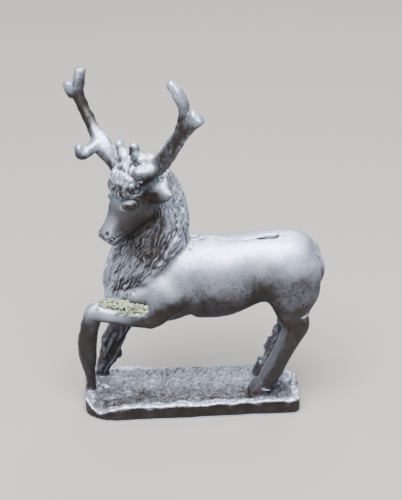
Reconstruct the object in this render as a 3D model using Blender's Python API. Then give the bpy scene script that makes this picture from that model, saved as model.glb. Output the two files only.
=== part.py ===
"""Miniature stag: one white metal casting, the walking stag and its slab of ground cast together.

Metres, +Z up. The stag faces -X, its near (left) side is -Y, and z = 0 is the underside of the base.
"""
import math

import bmesh
import bpy
import numpy as np

# Driving dimensions
WITHERS_HEIGHT = 0.0250  # top of the shoulders above the ground that the hooves stand on
BASE_THICKNESS = 0.0023
BASE_FRONT_MARGIN = 0.0009  # base beyond the leading hoof
BASE_REAR_MARGIN = 0.0058  # base behind the hind hooves
BASE_NEAR_MARGIN = 0.0030  # base outside the near hind hoof
BASE_FAR_MARGIN = 0.0018  # base outside the far fore hoof
BASE_CORNER_RADIUS = 0.0030
LEADING_CORNER_RADIUS = 0.0042  # the near front corner, which is also slumped
CORNER_SLUMP = 0.0012  # how far the top sinks there
BASE_EDGE_ROUNDING = 0.0005
BASE_REAR_TAPER = 0.0012  # how much the far edge comes in towards the rear
GLUE_THICKNESS = 0.0005  # old glue on the raised forearm

# The figure's own proportions are shares: hundredths of the withers height.
SHARE = WITHERS_HEIGHT / 100
VOXEL = 1.1 * SHARE
MOST_TRIANGLES = 9000

# Hooves on the ground: back from and across from the figure's middle, in shares
NEAR_FORE_HOOF = (-63.0, 1.0)
FAR_FORE_HOOF = (-55.0, 17.5)
NEAR_HIND_HOOF = (38.0, -12.0)
FAR_HIND_HOOF = (43.5, 8.8)


def smooth_rows(stations, count):
    """Catmull-Rom curve through the stations, every column at once."""
    rows = np.asarray(stations, float)
    ends = np.vstack([2 * rows[0] - rows[1], rows, 2 * rows[-1] - rows[-2]])
    t = np.linspace(0, len(rows) - 1, count)
    i = np.minimum(t.astype(int), len(rows) - 2)
    f = (t - i)[:, None]
    p0, p1, p2, p3 = ends[i], ends[i + 1], ends[i + 2], ends[i + 3]
    bend = 2 * p0 - 5 * p1 + 4 * p2 - p3
    twist = 3 * p1 - p0 - 3 * p2 + p3
    return 0.5 * (2 * p1 + (p2 - p0) * f + bend * f**2 + twist * f**3)


def unit(v):
    return v / np.linalg.norm(v, axis=-1, keepdims=True)


def limb(stations, side=(0, 1, 0), rings=24, around=20, square=2.0, blunt=(1.0, 1.0)):
    """A closed round form along a path. A station is x, y, z, half width along side, half depth, in shares.

    Each section is a superellipse of power square, square to the path; blunt is how far each end's dome
    stands out, as a share of its smaller half size.
    """
    path = smooth_rows(stations, rings)
    centre, half = path[:, :3], path[:, 3:5]
    along = unit(np.gradient(centre, axis=0))
    side = np.asarray(side, float)
    across = unit(side - (along @ side)[:, None] * along)
    front = np.cross(along, across)
    lift = np.radians([75, 50, 25])
    pieces = []
    for end, sign, turn in ((0, -1, lift), (-1, 1, lift[::-1])):
        reach = sign * blunt[end] * half[end].min()
        pieces.append(
            (
                centre[end] + np.outer(np.sin(turn) * reach, along[end]),
                np.outer(np.cos(turn), half[end]),
                np.repeat(across[end][None], len(turn), 0),
                np.repeat(front[end][None], len(turn), 0),
                centre[end] + reach * along[end],
            )
        )
    (c0, h0, a0, f0, tip0), (c1, h1, a1, f1, tip1) = pieces
    centre, half = np.vstack([c0, centre, c1]), np.vstack([h0, half, h1])
    across, front = np.vstack([a0, across, a1]), np.vstack([f0, front, f1])
    angle = np.arange(around) / around * 2 * math.pi
    wide = np.sign(np.cos(angle)) * np.abs(np.cos(angle)) ** (2 / square)
    deep = np.sign(np.sin(angle)) * np.abs(np.sin(angle)) ** (2 / square)
    grid = (
        centre[:, None]
        + (half[:, :1] * wide)[..., None] * across[:, None]
        + (half[:, 1:] * deep)[..., None] * front[:, None]
    )
    return closed_grid(grid, tip0, tip1)


def closed_grid(grid, tip0, tip1):
    """Points and faces of a tube of rings, closed with a fan to a tip at each end."""
    n, m = grid.shape[:2]
    index = np.arange(n * m).reshape(n, m)
    turned = np.roll(index, -1, 1)
    quads = np.stack([index[:-1], turned[:-1], turned[1:], index[1:]], -1).reshape(-1, 4)
    fans = [(n * m, b, a) for a, b in zip(index[0], turned[0])]
    fans += [(n * m + 1, a, b) for a, b in zip(index[-1], turned[-1])]
    points = np.vstack([grid.reshape(-1, 3), tip0, tip1])
    return points, [tuple(q) for q in quads.tolist()] + [tuple(int(i) for i in f) for f in fans]


def ball(centre, radii):
    """An ellipsoid at centre with half sizes radii, in shares."""
    x, y, z = centre
    rx, ry, rz = radii
    ends = [(x, y, z - 0.01, rx, ry), (x, y, z + 0.01, rx, ry)]
    return limb(ends, side=(1, 0, 0), rings=3, blunt=(rz / min(rx, ry),) * 2)


# Head frame: the head is turned 33 degrees towards the near side and carried nose down
HEAD_TURN = math.radians(33)
HEAD_DROP = math.radians(43)
SKULL = np.array((-36.5, -4.0, 128.5))
MUZZLE = np.array(
    (
        -math.cos(HEAD_TURN) * math.cos(HEAD_DROP),
        -math.sin(HEAD_TURN) * math.cos(HEAD_DROP),
        -math.sin(HEAD_DROP),
    )
)
HEAD_LEFT = np.array((math.sin(HEAD_TURN), -math.cos(HEAD_TURN), 0.0))
BROW = np.cross(MUZZLE, HEAD_LEFT)


def on_head(ahead, left, up):
    """A point given in the head's own frame, in shares from the middle of the skull."""
    return SKULL + ahead * MUZZLE + left * HEAD_LEFT + up * BROW


def head_station(ahead, up, wide, deep):
    return (*on_head(ahead, 0, up), wide, deep)


def torso():
    barrel = [
        (-31, 3.4, 61, 10, 12),
        (-21, 3.2, 63, 16, 19),
        (-10, 2.4, 71, 18.2, 24.0),
        (4, 1.6, 73.5, 19.0, 26.0),
        (17, 0.4, 74.4, 19.0, 25.4),
        (30, -0.4, 78.2, 17.6, 22.6),
        (40, -0.8, 80.0, 17.6, 21.6),
        (52, -1.4, 79.4, 18.4, 23.2),
        (61, -1.6, 78.4, 16.8, 21.6),
        (67.6, -1.6, 77.0, 12.5, 15.6),
    ]
    return [
        limb(barrel, rings=40, around=32, square=2.2, blunt=(0.8, 0.45)),
        ball((-19, -9.5, 67), (13, 8.6, 15)),
        ball((-18, 13.5, 67), (13, 8.6, 15)),
        ball((-33, -3.5, 67), (12, 10, 12)),
    ]


NECK = [
    (-21.5, 1.4, 137, 8.6, 9.6),
    (-20, 2.2, 125, 10.2, 13.6),
    (-19.5, 2.2, 110, 13.2, 17.4),
    (-24.5, 2.2, 96.5, 16.0, 19.8),
    (-34.0, 2.8, 83, 17.0, 18.4),
    (-42.0, 2.6, 72, 12.8, 14.0),
    (-45.5, 0.6, 63, 9.5, 9.0),
]


def neck():
    return [limb(NECK, rings=34, around=32)]


def head():
    skull = [
        head_station(-13, -2, 9.0, 10.0),
        head_station(-6, -0.5, 10.8, 12.5),
        head_station(1, -2.0, 11.0, 14.0),
        head_station(8, -3.0, 9.8, 12.6),
        head_station(15, -3.4, 7.8, 9.6),
        head_station(21.5, -2.9, 6.3, 7.4),
        head_station(26.2, -2.2, 5.9, 6.4),
    ]
    tuft = [
        (*on_head(-14, 0, 9.5), 8.5, 6.0),
        (*on_head(-7, 0, 12.8), 10.8, 7.2),
        (*on_head(0.8, 0, 12.6), 9.6, 4.4),
    ]
    forms = [
        limb(skull, side=HEAD_LEFT, rings=30, around=24, square=2.5, blunt=(0.9, 0.45)),
        limb(tuft, side=HEAD_LEFT, rings=10),
    ]
    return forms + side_of_face(1) + side_of_face(-1)


def side_of_face(side):
    """Eyeball, cheek and nostril wing; side is 1 on the left and -1 on the right."""
    return [
        ball(on_head(4.9, 7.3 * side, 5.8), (3.6, 2.6, 2.6)),
        ball(on_head(3, 6.8 * side, -6.5), (7.0, 3.8, 6.4)),
        ball(on_head(25.6, 3.3 * side, 1.2), (2.2, 1.7, 2.0)),
    ]


def near_foreleg():
    x, y = NEAR_FORE_HOOF
    upper = [(-16, -10.5, 68, 8, 10), (-23, -12, 58, 7, 8.4), (-28, -12, 53.8, 6, 7)]
    forearm = [
        (-26, -12, 54.5, 5.8, 6.6),
        (-36, -10.8, 54.0, 5.0, 5.6),
        (-48, -8.2, 55.0, 4.6, 5.4),
        (-59, -5.6, 56.4, 5.0, 5.6),
    ]
    cannon = [
        (-60.5, -5.2, 55.6, 5.0, 5.6),
        (-63.2, -3.8, 45, 4.8, 5.4),
        (-64.8, -2.4, 34, 4.6, 5.6),
        (-64.6, -1.0, 22, 4.4, 5.0),
        (-64.0, 0.2, 13.5, 3.8, 3.4),
        (x - 0.3, y, 6, 3.4, 2.7),
        (x - 0.3, y, -3, 4.2, 3.4),
    ]
    return [limb(upper, rings=12), limb(forearm, rings=18, square=2.4), limb(cannon, rings=26, square=2.4)]


def far_foreleg():
    x, y = FAR_FORE_HOOF
    leg = [
        (-24, 13, 60, 7.5, 12),
        (-34, 14.5, 49, 6.0, 8),
        (-42.2, 15.5, 38, 4.8, 5.8),
        (-48.6, 16.2, 26, 4.6, 6.4),
        (-50.8, 16.8, 16, 4.6, 6.2),
        (-54.4, 17.0, 8, 3.8, 4.2),
        (x - 0.8, y - 0.5, 1.5, 3.9, 4.0),
        (x - 0.8, y - 0.5, -4, 4.2, 4.6),
    ]
    fetlock = ball((-46.2, 16.6, 14.5), (2.4, 2.6, 3.2))
    knee = ball((-53.6, 14.6, 24.5), (2.8, 3.0, 3.8))
    return [limb(leg, rings=30, square=2.4), fetlock, knee]


def hind_leg(hoof, across, hip, hock):
    """Thigh, hock, cannon and hoof.

    across is the leg's distance from the middle, hip the thigh's, and hock how far back its hock stands.
    """
    x, y = hoof
    leg = [
        (hock - 4.6, hip, 84, 7.5, 18),
        (hock - 3.0, across * 0.85, 67, 7.4, 16.8),
        (hock - 2.6, across, 54, 6.4, 10.0),
        (hock - 0.6, across, 46, 6.4, 8.2),
        (hock - 3.4, across, 38, 6.4, 6.4),
        (hock * 0.59 + x * 0.41, across, 26, 6.2, 5.4),
        (hock * 0.30 + x * 0.70, y, 13, 6.2, 5.6),
        (x + 3.4, y, 7.5, 5.6, 5.0),
        (x - 0.4, y, 2, 6.2, 6.6),
        (x - 1.6, y, -4, 6.4, 7.2),
    ]
    return [limb(leg, rings=40, square=2.7)]


def tail():
    strip = [
        (68.5, -1.6, 91, 3.0, 2.0),
        (72.6, -1.8, 84, 4.4, 2.4),
        (74.2, -2.0, 75, 4.2, 2.2),
        (71.6, -2.0, 66, 2.8, 1.8),
    ]
    return [limb(strip, rings=12)]


def tine(stations, rings, blunt):
    """Antler rod: x, y, z, radius in shares; an ellipse where a fifth value gives the second half size."""
    rows = [s if len(s) == 5 else (*s, s[3]) for s in stations]
    return limb(rows, side=(0.5, 0.85, 0.1), around=14, rings=rings, blunt=blunt)


def far_antler():
    beam = [
        (-42, 5, 136, 3.4),
        (-46, 7, 146, 3.9),
        (-52, 12.5, 155, 5.4, 5.6),
        (-55.8, 17, 161, 3.8),
        (-60.6, 24, 170, 3.3),
        (-65.0, 29, 180, 3.7, 3.3),
        (-64.6, 31, 187.5, 3.9, 3.1),
        (-63.2, 32, 194.5, 3.5, 3.0),
    ]
    brow = [
        (-54, 13, 157, 4.4, 4.0),
        (-60, 9, 154, 3.5, 3.4),
        (-64.5, 6.2, 153.2, 3.7, 3.4),
        (-66.6, 5.4, 157.2, 2.4),
    ]
    fork = [(-64.6, 28.6, 177.6, 2.0), (-68.6, 30, 180.4, 2.2, 3.0), (-71.6, 31.5, 185.4, 2.4, 3.2)]
    return [tine(beam, 26, (0.5, 0.25)), tine(brow, 14, (0.8, 0.6)), tine(fork, 10, (0.8, 0.8))]


def near_antler():
    beam = [
        (-33, -6, 138, 3.8),
        (-29, -10, 147, 5.0, 5.6),
        (-22.6, -14.5, 153, 5.2, 5.4),
        (-16.4, -19.5, 163, 4.3, 4.7),
        (-11.6, -24.5, 173.6, 3.7, 4.2),
        (-6, -29.5, 183, 3.5, 4.2),
        (-1.4, -33.4, 189.6, 3.0, 4.6),
    ]
    upper = [
        (-11.4, -25.6, 176, 2.8),
        (-9.4, -27.4, 184, 2.7),
        (-8.6, -28, 193, 2.9),
        (-11.6, -27, 200.6, 3.0, 3.6),
        (-15.8, -25.4, 206.2, 2.3, 2.6),
    ]
    forward = [
        (-25, -15.5, 151, 4.2, 4.4),
        (-31, -18.4, 150.8, 4.0, 4.2),
        (-35.6, -20.4, 150.4, 3.6, 3.6),
    ]
    stub = [
        (-26, -11.4, 155.4, 3.4),
        (-31.4, -8.6, 154.8, 3.2),
        (-34.4, -7.4, 157.4, 3.1),
        (-35.6, -6.6, 162.0, 2.7),
    ]
    return [
        tine(beam, 26, (0.5, 0.2)),
        tine(upper, 18, (0.5, 0.8)),
        tine(forward, 8, (0.5, 0.25)),
        tine(stub, 12, (0.6, 0.8)),
    ]


def ear(root, tip, crest, broad=1.0, sag=0.0, end=0.8):
    """A folded leaf from root to tip: a lozenge section whose sharp crest looks along crest.

    broad widens the leaf, sag is how far its middle hangs, and end is the least half size, at its tip.
    """
    root, tip, crest = (np.asarray(v, float) for v in (root, tip, crest))
    along = unit(tip - root)
    wide = np.cross(along, unit(crest - (crest @ along) * along))
    leaf = [
        (0.0, 4.6, 3.4),
        (0.22, 6.8, 4.6),
        (0.45, 6.8, 4.4),
        (0.68, 4.8, 3.4),
        (0.88, 2.4, 1.8),
        (1.0, 0.8, 0.8),
    ]
    drop = np.array((0, 0, sag))
    rows = [
        (*(root + t * (tip - root) - 4 * t * (1 - t) * drop), max(half * broad, end), max(deep, end))
        for t, half, deep in leaf
    ]
    return limb(rows, side=wide, rings=14, square=1.25, blunt=(0.6, 1.0))


def ears():
    return [
        ear((-25.4, -9.0, 139.3), (-14.8, -18.8, 136.2), (-0.30, -0.90, 0.33), broad=1.22, sag=2.0),
        ear(on_head(-10, -8.0, 7.5), (-43.0, 10, 156.0), (-0.45, -0.9, 0.1), end=3.0),
    ]


def glue():
    """Lumps of old glue where the raised forearm meets the chest."""
    stretch = np.linspace(0, 1, 7)
    lift = GLUE_THICKNESS / SHARE
    return [
        ball((-57 + 29 * t, -8.2 - 4.6 * t, 60.5 + 1.6 * math.sin(9 * t)), (3.6, 3.0, 1.8 + 0.5 * lift))
        for t in stretch
    ]


def ground_edges():
    """The base's front, rear, near and far edges, in metres, from the hooves and the margins."""
    front = NEAR_FORE_HOOF[0] * SHARE - BASE_FRONT_MARGIN
    rear = NEAR_HIND_HOOF[0] * SHARE + BASE_REAR_MARGIN
    near = NEAR_HIND_HOOF[1] * SHARE - BASE_NEAR_MARGIN
    far = FAR_FORE_HOOF[1] * SHARE + BASE_FAR_MARGIN
    return front, rear, near, far


def base_outline(count):
    """Rounded oblong whose far edge comes in towards the rear, with the slight waver of a hand-cut slab."""
    front, rear, near, far = ground_edges()
    r = BASE_CORNER_RADIUS
    corners = (
        (front + LEADING_CORNER_RADIUS, near + LEADING_CORNER_RADIUS, 180, LEADING_CORNER_RADIUS),
        (rear - r / 2, near + r / 2, 270, r / 2),
        (rear - r, far - BASE_REAR_TAPER - r, 0, r),
        (front + r, far - r, 90, r),
    )
    points = []
    for x, y, start, radius in corners:
        turn = np.radians(start + np.linspace(0, 90, 7))
        points.append(np.stack([x + radius * np.cos(turn), y + radius * np.sin(turn)], -1))
    loop = np.vstack(points + [points[0][:1]])
    run = np.r_[0, np.cumsum(np.linalg.norm(np.diff(loop, axis=0), axis=1))]
    at = np.arange(count) / count * run[-1]
    outline = np.stack([np.interp(at, run, loop[:, k]) for k in (0, 1)], -1)
    middle = outline.mean(0)
    phase = at / run[-1] * 2 * math.pi
    waver = 1 + 0.010 * np.sin(5 * phase + 1.0) + 0.008 * np.sin(11 * phase)
    return middle + (outline - middle) * waver[:, None]


def base():
    """The slab, deeper than its thickness: the flat underside is cut after everything is fused."""
    outline = base_outline(72)
    middle = outline.mean(0)
    inward = unit(middle - outline)
    rings = [(outline, -0.6 * BASE_THICKNESS), (outline, 0.0)]
    for turn in np.radians((0, 30, 60, 90)):
        inset = BASE_EDGE_ROUNDING * (1 - math.cos(turn))
        height = BASE_THICKNESS - BASE_EDGE_ROUNDING * (1 - math.sin(turn))
        rings.append((outline + inward * inset, height))
    grid = np.stack([np.column_stack([o, np.full(len(o), z)]) for o, z in rings])
    return closed_grid(grid, np.array((*middle, grid[0, 0, 2])), np.array((*middle, BASE_THICKNESS)))


def in_metres(shape):
    """A form's points taken from shares above the ground to metres above the underside."""
    points, faces = shape
    return points * SHARE + np.array((0, 0, BASE_THICKNESS)), faces


def joined(name, shapes):
    """One object holding every form, still overlapping."""
    points, faces, start = [], [], 0
    for shape_points, shape_faces in shapes:
        points.append(shape_points)
        faces += [tuple(i + start for i in f) for f in shape_faces]
        start += len(shape_points)
    mesh = bpy.data.meshes.new(name)
    mesh.from_pydata(np.vstack(points).tolist(), [], faces)
    bm = bmesh.new()
    bm.from_mesh(mesh)
    bmesh.ops.recalc_face_normals(bm, faces=bm.faces)
    bm.to_mesh(mesh)
    bm.free()
    obj = bpy.data.objects.new(name, mesh)
    bpy.context.scene.collection.objects.link(obj)
    return obj


def settled(obj):
    """Replaces the object's mesh by what its modifiers make of it."""
    bpy.context.view_layer.update()
    graph = bpy.context.evaluated_depsgraph_get()
    mesh = bpy.data.meshes.new_from_object(obj.evaluated_get(graph))
    obj.modifiers.clear()
    obj.data = mesh
    return obj


def fuse(obj):
    remesh = obj.modifiers.new("fuse", "REMESH")
    remesh.mode = "VOXEL"
    remesh.voxel_size = VOXEL
    soften = obj.modifiers.new("soften", "SMOOTH")
    soften.factor = 0.5
    soften.iterations = 3
    return settled(obj)


def noise(u, v, seed):
    """Smooth value noise from 0 to 1: random heights on a unit grid, eased between its points."""
    table = np.random.default_rng(seed).random((64, 64))
    i, j = np.floor(u).astype(int), np.floor(v).astype(int)
    fu, fv = u - i, v - j
    fu, fv = fu * fu * (3 - 2 * fu), fv * fv * (3 - 2 * fv)
    i0, i1, j0, j1 = i % 64, (i + 1) % 64, j % 64, (j + 1) % 64
    low = table[i0, j0] * (1 - fu) + table[i1, j0] * fu
    high = table[i0, j1] * (1 - fu) + table[i1, j1] * fu
    return low * (1 - fv) + high * fv


def ease(value, start, end):
    t = np.clip((value - start) / (end - start), 0, 1)
    return t * t * (3 - 2 * t)


def neck_place(points):
    """Of points in shares: distance down the neck, angle round it, how far out (1 on the neck's surface)."""
    path = smooth_rows(NECK, 60)
    centre, half = path[:, :3], path[:, 3:5]
    along = unit(np.gradient(centre, axis=0))
    across = unit(np.array((0, 1.0, 0)) - along[:, 1:2] * along)
    front = np.cross(along, across)
    nearest = np.argmin(((points[:, None] - centre[None]) ** 2).sum(-1), 1)
    offset = points - centre[nearest]
    y = (offset * across[nearest]).sum(-1)
    x = (offset * front[nearest]).sum(-1)
    run = np.concatenate([[0], np.cumsum(np.linalg.norm(np.diff(centre, axis=0), axis=1))])
    along_run = run[nearest] + (offset * along[nearest]).sum(-1)
    out = np.hypot(y / half[nearest, 0], x / half[nearest, 1])
    return along_run, np.arctan2(x, y), out


def in_head(points):
    place = points - SKULL
    return place @ MUZZLE, place @ HEAD_LEFT, place @ BROW


def head_cover(points):
    """1 on the head's own skin, from how far out a point lies of the skull's section there."""
    ahead, left, up = in_head(points)
    at = [-13, -6, 1, 8, 15, 21.5, 28]
    middle = np.interp(ahead, at, [-2, -0.5, -2.0, -3.0, -3.4, -2.9, -2.2])
    wide = np.interp(ahead, at, [9.0, 10.8, 11.0, 9.8, 7.8, 6.3, 5.9])
    deep = np.interp(ahead, at, [10.0, 12.5, 14.0, 12.6, 9.6, 7.4, 6.4])
    out = (np.abs(left / wide) ** 2.5 + np.abs((up - middle) / deep) ** 2.5) ** 0.4
    return ease(-out, -1.26, -1.12) * ease(ahead, -9, -6) * ease(-ahead, -34, -30)


def mane_relief(points):
    """Staggered locks that run down the neck: pointed bumps in rows, each row shifted by half a lock."""
    run, angle, out = neck_place(points)
    sway = 0.35 * noise(run / 14, angle * 3 + 9, 4)
    across = (angle + sway) / (2 * math.pi) * 22
    height = np.zeros(len(points))
    for shift in (0, 1):
        down = run / 11 + 0.5 * shift + 0.6 * noise(across * 0.7, run * 0 + 5, 6 + shift)
        row = np.floor(down)
        u = (across + 0.5 * row + 0.25 * shift) % 1 * 2 - 1
        v = down - row
        lock = np.cos(np.clip(u / (1.0 - 0.6 * v), -1, 1) * math.pi / 2)
        height = np.maximum(height, lock * ease(v, 0, 0.3) * (1 - 0.3 * v))
    shown = ease(-out, -1.50, -1.25) * ease(run, -12, -6) * mane_edge(points) * (1 - head_cover(points))
    return (0.5 + 1.5 * (height - 0.35)) * shown


def face_relief(points):
    """The mouth's groove and the nostrils, in the head's frame."""
    ahead, left, up = in_head(points)
    muzzle = ease(ahead, 15, 19) * ease(-np.sqrt(ahead**2 + left**2 + up**2), -36, -31)
    groove = np.exp(-(((up + 4.0 + 0.10 * (ahead - 24)) / 1.0) ** 2)) * muzzle
    hollow = np.exp(-((ahead - 28.5) ** 2 + (np.abs(left) - 2.6) ** 2 + (up - 1.4) ** 2) / 1.6)
    return -0.8 * groove - 1.0 * hollow


def tuft_relief(points):
    """Curls on the forehead: short wavy ridges swept forward and outward from the crown."""
    ahead, left, up = in_head(points)
    shown = ease(up, 9.5, 12) * ease(-ahead, -6, -3) * ease(ahead, -22, -17) * ease(-np.abs(left), -12, -9)
    bend = 2.2 * noise(ahead / 5 + 11, left / 5 + 11, 8)
    ridge = np.cos((left + 0.35 * ahead * np.sign(left)) * 1.15 + bend * 2)
    break_up = 0.5 + noise(ahead / 2.6 + 30, left / 3.2 + 30, 9)
    cleft = 1.6 * np.exp(-(((ahead + 8.5) / 1.2) ** 2)) * ease(up, 13, 15) * ease(-np.abs(left), -12, -8)
    return 0.9 * ridge * break_up * shown - cleft


def mane_edge(points):
    """1 over the mane and 0 beyond its lower edge, which runs from the withers down to the chest."""
    back = [-46, -41, -38.4, -32.5, -23.7, -19, -8, 0.4]
    height = [63, 64, 66.5, 77, 86, 91, 94, 99.6]
    return ease(points[:, 2] - np.interp(points[:, 0], back, height), -2.5, 3)


def ground_relief(points):
    """Low waves and lumps on the top of the base."""
    top = ease(-np.abs(points[:, 2]), -3, -1)
    return top * 1.5 * (noise(points[:, 0] / 9, points[:, 1] / 7 + 20, 1) - 0.5)


def slump(points):
    """How far each point sinks at the near front corner: all of it on the top, none at the underside."""
    front, _, near, _ = ground_edges()
    away = np.hypot(points[:, 0] - front / SHARE - 8, points[:, 1] - near / SHARE - 1.5)
    above = np.clip(1 + points[:, 2] * SHARE / BASE_THICKNESS, 0, 1)
    return CORNER_SLUMP / SHARE * np.exp(-((away / 6.5) ** 2)) * above


def carve(obj):
    """Moves each point along its normal by the relief there."""
    mesh = obj.data
    count = len(mesh.vertices)
    points, normals = np.empty(count * 3, np.float32), np.empty(count * 3, np.float32)
    mesh.vertices.foreach_get("co", points)
    mesh.vertex_normals.foreach_get("vector", normals)
    points, normals = points.reshape(-1, 3).astype(float), normals.reshape(-1, 3).astype(float)
    shares = (points - np.array((0, 0, BASE_THICKNESS))) / SHARE
    relief = mane_relief(shares) + tuft_relief(shares) + face_relief(shares) + ground_relief(shares)
    moved = points + normals * (relief * SHARE)[:, None]
    moved[:, 2] -= slump(shares) * SHARE
    mesh.vertices.foreach_set("co", moved.astype(np.float32).ravel())
    mesh.update()


def thin_out(obj):
    """Fewer, larger faces where the surface is smooth."""
    obj.data.calc_loop_triangles()
    decimate = obj.modifiers.new("thin out", "DECIMATE")
    decimate.ratio = MOST_TRIANGLES / len(obj.data.loop_triangles)
    decimate.use_collapse_triangulate = True
    return settled(obj)


def cut_flat(obj):
    """Cuts the underside flat at z = 0 and closes it with one flat face."""
    bm = bmesh.new()
    bm.from_mesh(obj.data)
    everything = bm.verts[:] + bm.edges[:] + bm.faces[:]
    floor = {"plane_co": (0, 0, 0), "plane_no": (0, 0, -1)}
    cut = bmesh.ops.bisect_plane(bm, geom=everything, clear_outer=True, **floor)
    rim = [e for e in cut["geom_cut"] if isinstance(e, bmesh.types.BMEdge)]
    bmesh.ops.holes_fill(bm, edges=rim, sides=0)
    bmesh.ops.dissolve_degenerate(bm, dist=2e-6, edges=bm.edges[:])
    bmesh.ops.triangulate(bm, faces=bm.faces[:])
    bm.to_mesh(obj.data)
    bm.free()


def white_metal():
    material = bpy.data.materials.new("white_metal")
    material.use_nodes = True
    shader = material.node_tree.nodes["Principled BSDF"]
    shader.inputs["Base Color"].default_value = (0.50, 0.51, 0.53, 1)
    shader.inputs["Metallic"].default_value = 1.0
    shader.inputs["Roughness"].default_value = 0.45
    return material


def main():
    for obj in list(bpy.data.objects):
        bpy.data.objects.remove(obj)
    forms = torso() + neck() + head() + ears() + tail() + glue()
    forms += near_foreleg() + far_foreleg()
    forms += hind_leg(NEAR_HIND_HOOF, -12.6, -9.5, 59.0) + hind_leg(FAR_HIND_HOOF, 9.6, 8.0, 61.5)
    forms += far_antler() + near_antler()
    stag = joined("stag_casting", [in_metres(f) for f in forms] + [base()])
    fuse(stag)
    carve(stag)
    thin_out(stag)
    cut_flat(stag)
    stag.data.shade_smooth()
    stag.data.set_sharp_from_angle(angle=math.radians(50))
    stag.data.materials.clear()
    stag.data.materials.append(white_metal())
    return stag


main()
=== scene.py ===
"""Miniature stag in white metal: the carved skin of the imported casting, old glue on it, floor and light."""
import math

import bmesh
import bpy
import numpy as np
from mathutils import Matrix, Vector


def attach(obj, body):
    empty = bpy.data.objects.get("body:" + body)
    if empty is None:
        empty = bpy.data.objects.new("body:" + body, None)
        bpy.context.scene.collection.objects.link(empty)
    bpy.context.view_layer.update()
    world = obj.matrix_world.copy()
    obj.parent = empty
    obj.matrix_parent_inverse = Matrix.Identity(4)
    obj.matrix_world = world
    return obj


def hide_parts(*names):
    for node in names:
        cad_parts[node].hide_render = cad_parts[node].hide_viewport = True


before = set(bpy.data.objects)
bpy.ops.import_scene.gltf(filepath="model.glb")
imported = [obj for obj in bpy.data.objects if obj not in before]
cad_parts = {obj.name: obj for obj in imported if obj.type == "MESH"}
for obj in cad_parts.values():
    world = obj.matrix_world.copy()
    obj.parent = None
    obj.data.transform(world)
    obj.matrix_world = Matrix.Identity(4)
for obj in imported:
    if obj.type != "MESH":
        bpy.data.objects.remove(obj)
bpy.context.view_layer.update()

# The casting. The stag and its slab of ground are one solid pour of tin-lead white metal, made in a
# two-part mould and left unpainted, so seams, stub tines and the ragged rim of the slab are still on it.
# Its forms are those of the CAD node, in shares of the withers height, fused at a fine voxel and carved.
WITHERS_HEIGHT = 0.0250
BASE_THICKNESS = 0.0023
SHARE = WITHERS_HEIGHT / 100
FINE_VOXEL = 0.46 * SHARE
MOST_TRIANGLES = 196000
FINE_WEIGHT = 0.4
NEAR_FORE_HOOF = (-63.0, 1.0)
FAR_FORE_HOOF = (-55.0, 17.5)
NEAR_HIND_HOOF = (38.0, -12.0)
FAR_HIND_HOOF = (43.5, 8.8)


def smooth_rows(stations, count):
    """Catmull-Rom curve through the stations, every column at once."""
    rows = np.asarray(stations, float)
    ends = np.vstack([2 * rows[0] - rows[1], rows, 2 * rows[-1] - rows[-2]])
    t = np.linspace(0, len(rows) - 1, count)
    i = np.minimum(t.astype(int), len(rows) - 2)
    f = (t - i)[:, None]
    p0, p1, p2, p3 = ends[i], ends[i + 1], ends[i + 2], ends[i + 3]
    bend = 2 * p0 - 5 * p1 + 4 * p2 - p3
    twist = 3 * p1 - p0 - 3 * p2 + p3
    return 0.5 * (2 * p1 + (p2 - p0) * f + bend * f**2 + twist * f**3)


def unit(v):
    """The vectors scaled to length 1."""
    return v / np.linalg.norm(v, axis=-1, keepdims=True)


def closed_grid(grid, tip0, tip1):
    """Points and faces of a tube of rings, closed with a fan to a tip at each end."""
    n, m = grid.shape[:2]
    index = np.arange(n * m).reshape(n, m)
    turned = np.roll(index, -1, 1)
    quads = np.stack([index[:-1], turned[:-1], turned[1:], index[1:]], -1).reshape(-1, 4)
    fans = [(n * m, b, a) for a, b in zip(index[0], turned[0])]
    fans += [(n * m + 1, a, b) for a, b in zip(index[-1], turned[-1])]
    points = np.vstack([grid.reshape(-1, 3), tip0, tip1])
    return points, [tuple(q) for q in quads.tolist()] + [tuple(int(i) for i in f) for f in fans]


def limb(stations, side=(0, 1, 0), rings=48, around=40, square=2.0, blunt=(1.0, 1.0), flutes=0, deep=0.0):
    """A round form along a path: station rows are x, y, z, half width along side, half depth, in shares.

    Section: |w|^square + |d|^square = 1, scaled by 1 + deep cos(flutes angle + a slow turn along the path).
    Each end closes in a dome that stands out blunt times the smaller half size.
    """
    path = smooth_rows(stations, rings)
    centre, half = path[:, :3], path[:, 3:5]
    along = unit(np.gradient(centre, axis=0))
    side = np.asarray(side, float)
    across = unit(side - (along @ side)[:, None] * along)
    front = np.cross(along, across)
    rise = np.radians([80, 66, 50, 34, 17])
    reach = [s * blunt[e] * half[e].min() * along[e] for e, s in ((0, -1), (-1, 1))]
    dome = [
        (centre[e] + np.outer(np.sin(t), out), np.outer(np.cos(t), half[e]))
        for e, out, t in ((0, reach[0], rise), (-1, reach[1], rise[::-1]))
    ]
    tips = [centre[0] + reach[0], centre[-1] + reach[1]]
    count = len(rise)
    rows = np.r_[np.zeros(count, int), np.arange(rings), np.full(count, rings - 1)]
    centre = np.vstack([dome[0][0], centre, dome[1][0]])
    half = np.vstack([dome[0][1], half, dome[1][1]])
    angle = np.arange(around) / around * 2 * math.pi
    wide = np.sign(np.cos(angle)) * np.abs(np.cos(angle)) ** (2 / square)
    tall = np.sign(np.sin(angle)) * np.abs(np.sin(angle)) ** (2 / square)
    turn = 1.4 * np.sin(np.arange(len(rows)) / len(rows) * 5.0)[:, None]
    groove = (1 + deep * np.cos(flutes * angle[None] + turn))[..., None]
    grid = centre[:, None] + groove * (
        (half[:, :1] * wide)[..., None] * across[rows][:, None]
        + (half[:, 1:] * tall)[..., None] * front[rows][:, None]
    )
    return closed_grid(grid, tips[0], tips[1])


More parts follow.
